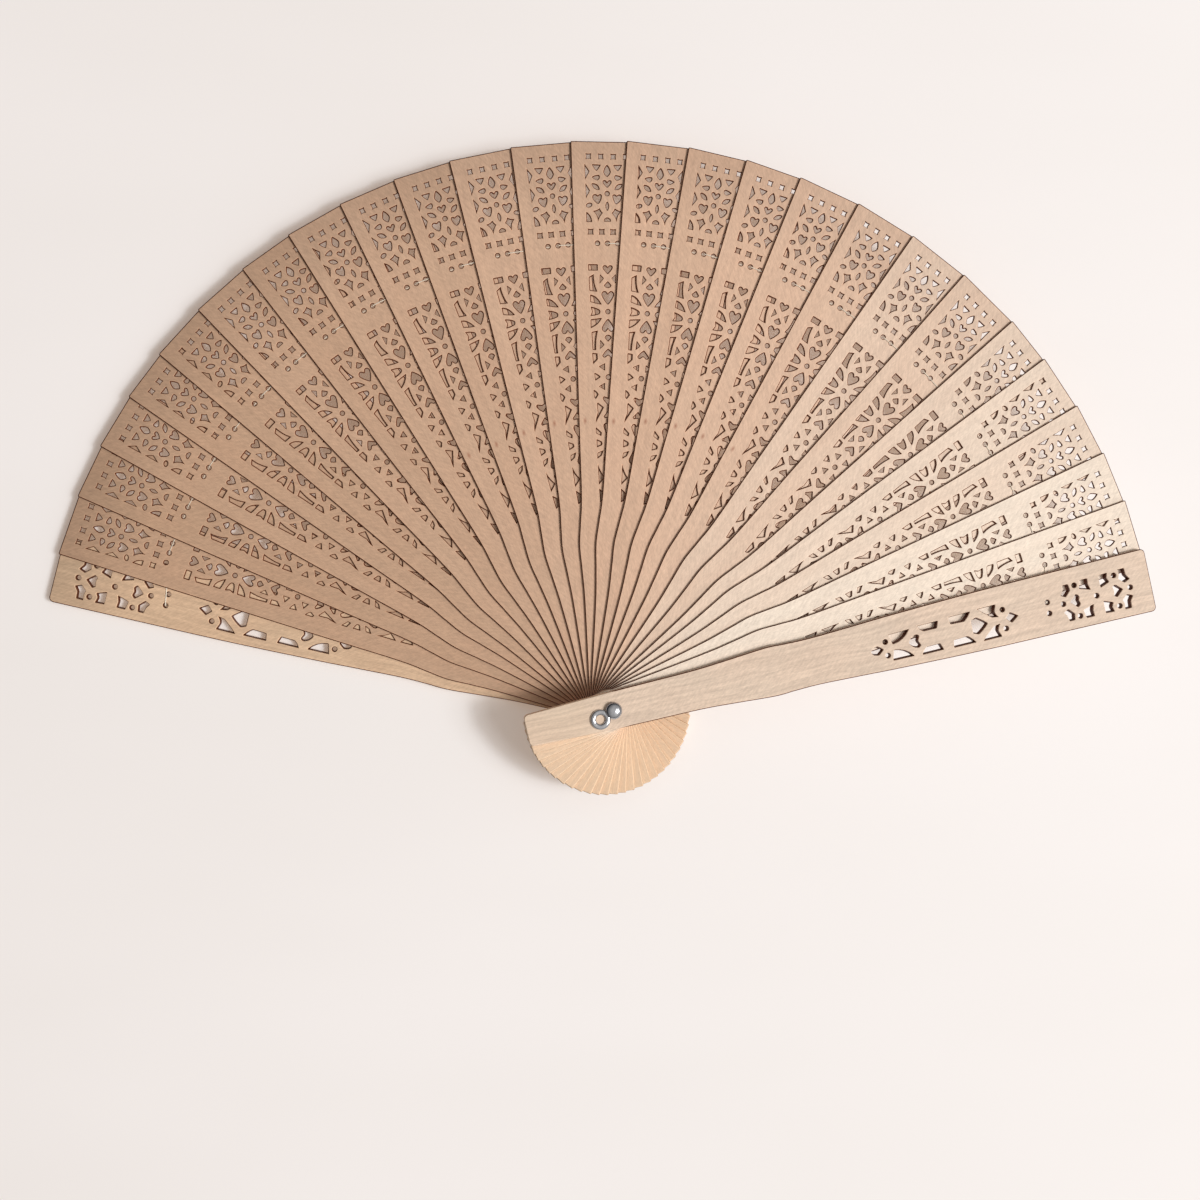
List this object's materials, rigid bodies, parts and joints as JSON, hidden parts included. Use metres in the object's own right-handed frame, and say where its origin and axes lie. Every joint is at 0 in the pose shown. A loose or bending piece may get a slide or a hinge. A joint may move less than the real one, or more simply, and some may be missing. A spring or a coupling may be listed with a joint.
{
  "type": "folding hand fan",
  "caption": "Pierced wooden folding fan, open: thin slats between two thick guards on one rivet, strung near the tips by a thread, with a small tassel eye at the pivot.",
  "frame": {"origin": "centre of the rivet's flat rear end, on the axis that every stick turns about; the fan's lowest point", "axes": "+Z along the rivet, from the back guard to the front guard; +Y up the middle of the open fan, from the rivet to the tips; +X towards the front guard's side"},
  "size_m": [0.3422, 0.2017, 0.0277],
  "materials": {
    "slat_wood": "bare sanded veneer",
    "guard_wood": "bare sanded wood",
    "metal": "polished nickel plate",
    "thread": "twisted cotton"
  },
  "bodies": {
    "back_guard": {"back_guard": "guard_wood", "pivot_rivet": "metal", "rivet_washer": "metal", "thread_knot_back": "thread", "thread_span_00": "thread"},
    "slat_01": {"slat_01": "slat_wood", "thread_span_01": "thread"},
    "slat_02": {"slat_02": "slat_wood", "thread_span_02": "thread"},
    "slat_03": {"slat_03": "slat_wood", "thread_span_03": "thread"},
    "slat_04": {"slat_04": "slat_wood", "thread_span_04": "thread"},
    "slat_05": {"slat_05": "slat_wood", "thread_span_05": "thread"},
    "slat_06": {"slat_06": "slat_wood", "thread_span_06": "thread"},
    "slat_07": {"slat_07": "slat_wood", "thread_span_07": "thread"},
    "slat_08": {"slat_08": "slat_wood", "thread_span_08": "thread"},
    "slat_09": {"slat_09": "slat_wood", "thread_span_09": "thread"},
    "slat_10": {"slat_10": "slat_wood", "thread_span_10": "thread"},
    "slat_11": {"slat_11": "slat_wood", "thread_span_11": "thread"},
    "slat_12": {"slat_12": "slat_wood", "thread_span_12": "thread"},
    "slat_13": {"slat_13": "slat_wood", "thread_span_13": "thread"},
    "slat_14": {"slat_14": "slat_wood", "thread_span_14": "thread"},
    "slat_15": {"slat_15": "slat_wood", "thread_span_15": "thread"},
    "slat_16": {"slat_16": "slat_wood", "thread_span_16": "thread"},
    "slat_17": {"slat_17": "slat_wood", "thread_span_17": "thread"},
    "slat_18": {"slat_18": "slat_wood", "thread_span_18": "thread"},
    "slat_19": {"slat_19": "slat_wood", "thread_span_19": "thread"},
    "slat_20": {"slat_20": "slat_wood", "thread_span_20": "thread"},
    "slat_21": {"slat_21": "slat_wood", "thread_span_21": "thread"},
    "slat_22": {"slat_22": "slat_wood", "thread_span_22": "thread"},
    "slat_23": {"slat_23": "slat_wood", "thread_span_23": "thread"},
    "slat_24": {"slat_24": "slat_wood", "thread_span_24": "thread"},
    "slat_25": {"slat_25": "slat_wood", "thread_span_25": "thread"},
    "front_guard": {"front_guard": "guard_wood", "thread_knot_front": "thread"},
    "tassel_ring": {"tassel_ring": "metal"}
  },
  "joints": [
    {"name": "fan_fold", "type": "hinge", "parent": "back_guard", "child": "slat_01", "pos_m": [0, 0, 0.00345], "axis": [0, 0, 1], "range_deg": [0, 5.1], "deforming": ["thread_span_00"]},
    {"name": "slat_02_fold", "type": "hinge", "parent": "slat_01", "child": "slat_02", "pos_m": [0, 0, 0.00425], "axis": [0, 0, 1], "range_deg": [0, 6.1], "deforming": ["thread_span_01"]},
    {"name": "slat_03_fold", "type": "hinge", "parent": "slat_02", "child": "slat_03", "pos_m": [0, 0, 0.00505], "axis": [0, 0, 1], "range_deg": [0, 5.5], "deforming": ["thread_span_02"]},
    {"name": "slat_04_fold", "type": "hinge", "parent": "slat_03", "child": "slat_04", "pos_m": [0, 0, 0.00585], "axis": [0, 0, 1], "range_deg": [0, 5.7], "deforming": ["thread_span_03"]},
    {"name": "slat_05_fold", "type": "hinge", "parent": "slat_04", "child": "slat_05", "pos_m": [0, 0, 0.00665], "axis": [0, 0, 1], "range_deg": [0, 5.2], "deforming": ["thread_span_04"]},
    {"name": "slat_06_fold", "type": "hinge", "parent": "slat_05", "child": "slat_06", "pos_m": [0, 0, 0.00745], "axis": [0, 0, 1], "range_deg": [0, 5.9], "deforming": ["thread_span_05"]},
    {"name": "slat_07_fold", "type": "hinge", "parent": "slat_06", "child": "slat_07", "pos_m": [0, 0, 0.00825], "axis": [0, 0, 1], "range_deg": [0, 6], "deforming": ["thread_span_06"]},
    {"name": "slat_08_fold", "type": "hinge", "parent": "slat_07", "child": "slat_08", "pos_m": [0, 0, 0.00905], "axis": [0, 0, 1], "range_deg": [0, 5.7], "deforming": ["thread_span_07"]},
    {"name": "slat_09_fold", "type": "hinge", "parent": "slat_08", "child": "slat_09", "pos_m": [0, 0, 0.00985], "axis": [0, 0, 1], "range_deg": [0, 6], "deforming": ["thread_span_08"]},
    {"name": "slat_10_fold", "type": "hinge", "parent": "slat_09", "child": "slat_10", "pos_m": [0, 0, 0.01065], "axis": [0, 0, 1], "range_deg": [0, 5.9], "deforming": ["thread_span_09"]},
    {"name": "slat_11_fold", "type": "hinge", "parent": "slat_10", "child": "slat_11", "pos_m": [0, 0, 0.01145], "axis": [0, 0, 1], "range_deg": [0, 5.9], "deforming": ["thread_span_10"]},
    {"name": "slat_12_fold", "type": "hinge", "parent": "slat_11", "child": "slat_12", "pos_m": [0, 0, 0.01225], "axis": [0, 0, 1], "range_deg": [0, 6.3], "deforming": ["thread_span_11"]},
    {"name": "slat_13_fold", "type": "hinge", "parent": "slat_12", "child": "slat_13", "pos_m": [0, 0, 0.01305], "axis": [0, 0, 1], "range_deg": [0, 6.1], "deforming": ["thread_span_12"]},
    {"name": "slat_14_fold", "type": "hinge", "parent": "slat_13", "child": "slat_14", "pos_m": [0, 0, 0.01385], "axis": [0, 0, 1], "range_deg": [0, 5.7], "deforming": ["thread_span_13"]},
    {"name": "slat_15_fold", "type": "hinge", "parent": "slat_14", "child": "slat_15", "pos_m": [0, 0, 0.01465], "axis": [0, 0, 1], "range_deg": [0, 6.3], "deforming": ["thread_span_14"]},
    {"name": "slat_16_fold", "type": "hinge", "parent": "slat_15", "child": "slat_16", "pos_m": [0, 0, 0.01545], "axis": [0, 0, 1], "range_deg": [0, 6], "deforming": ["thread_span_15"]},
    {"name": "slat_17_fold", "type": "hinge", "parent": "slat_16", "child": "slat_17", "pos_m": [0, 0, 0.01625], "axis": [0, 0, 1], "range_deg": [0, 5.8], "deforming": ["thread_span_16"]},
    {"name": "slat_18_fold", "type": "hinge", "parent": "slat_17", "child": "slat_18", "pos_m": [0, 0, 0.01705], "axis": [0, 0, 1], "range_deg": [0, 6.5], "deforming": ["thread_span_17"]},
    {"name": "slat_19_fold", "type": "hinge", "parent": "slat_18", "child": "slat_19", "pos_m": [0, 0, 0.01785], "axis": [0, 0, 1], "range_deg": [0, 6.5], "deforming": ["thread_span_18"]},
    {"name": "slat_20_fold", "type": "hinge", "parent": "slat_19", "child": "slat_20", "pos_m": [0, 0, 0.01865], "axis": [0, 0, 1], "range_deg": [0, 6.6], "deforming": ["thread_span_19"]},
    {"name": "slat_21_fold", "type": "hinge", "parent": "slat_20", "child": "slat_21", "pos_m": [0, 0, 0.01945], "axis": [0, 0, 1], "range_deg": [0, 6.9], "deforming": ["thread_span_20"]},
    {"name": "slat_22_fold", "type": "hinge", "parent": "slat_21", "child": "slat_22", "pos_m": [0, 0, 0.02025], "axis": [0, 0, 1], "range_deg": [0, 5.1], "deforming": ["thread_span_21"]},
    {"name": "slat_23_fold", "type": "hinge", "parent": "slat_22", "child": "slat_23", "pos_m": [0, 0, 0.02105], "axis": [0, 0, 1], "range_deg": [0, 5.9], "deforming": ["thread_span_22"]},
    {"name": "slat_24_fold", "type": "hinge", "parent": "slat_23", "child": "slat_24", "pos_m": [0, 0, 0.02185], "axis": [0, 0, 1], "range_deg": [0, 5.6], "deforming": ["thread_span_23"]},
    {"name": "slat_25_fold", "type": "hinge", "parent": "slat_24", "child": "slat_25", "pos_m": [0, 0, 0.02265], "axis": [0, 0, 1], "range_deg": [0, 5.4], "deforming": ["thread_span_24"]},
    {"name": "front_guard_fold", "type": "hinge", "parent": "slat_25", "child": "front_guard", "pos_m": [0, 0, 0.02345], "axis": [0, 0, 1], "range_deg": [0, 5], "deforming": ["thread_span_25"]},
    {"name": "ring_swivel", "type": "hinge", "parent": "back_guard", "child": "tassel_ring", "pos_m": [0, 0, 0.02595], "axis": [0, 0, 1], "continuous": true}
  ],
  "couplings": [
    {"joint": "slat_02_fold", "follows": "fan_fold", "ratio": 1.1961},
    {"joint": "slat_03_fold", "follows": "fan_fold", "ratio": 1.0784},
    {"joint": "slat_04_fold", "follows": "fan_fold", "ratio": 1.1176},
    {"joint": "slat_05_fold", "follows": "fan_fold", "ratio": 1.0196},
    {"joint": "slat_06_fold", "follows": "fan_fold", "ratio": 1.1569},
    {"joint": "slat_07_fold", "follows": "fan_fold", "ratio": 1.1765},
    {"joint": "slat_08_fold", "follows": "fan_fold", "ratio": 1.1176},
    {"joint": "slat_09_fold", "follows": "fan_fold", "ratio": 1.1765},
    {"joint": "slat_10_fold", "follows": "fan_fold", "ratio": 1.1569},
    {"joint": "slat_11_fold", "follows": "fan_fold", "ratio": 1.1569},
    {"joint": "slat_12_fold", "follows": "fan_fold", "ratio": 1.2353},
    {"joint": "slat_13_fold", "follows": "fan_fold", "ratio": 1.1961},
    {"joint": "slat_14_fold", "follows": "fan_fold", "ratio": 1.1176},
    {"joint": "slat_15_fold", "follows": "fan_fold", "ratio": 1.2353},
    {"joint": "slat_16_fold", "follows": "fan_fold", "ratio": 1.1765},
    {"joint": "slat_17_fold", "follows": "fan_fold", "ratio": 1.1373},
    {"joint": "slat_18_fold", "follows": "fan_fold", "ratio": 1.2745},
    {"joint": "slat_19_fold", "follows": "fan_fold", "ratio": 1.2745},
    {"joint": "slat_20_fold", "follows": "fan_fold", "ratio": 1.2941},
    {"joint": "slat_21_fold", "follows": "fan_fold", "ratio": 1.3529},
    {"joint": "slat_22_fold", "follows": "fan_fold", "ratio": 1},
    {"joint": "slat_23_fold", "follows": "fan_fold", "ratio": 1.1569},
    {"joint": "slat_24_fold", "follows": "fan_fold", "ratio": 1.098},
    {"joint": "slat_25_fold", "follows": "fan_fold", "ratio": 1.0588},
    {"joint": "front_guard_fold", "follows": "fan_fold", "ratio": 0.98039}
  ]
}
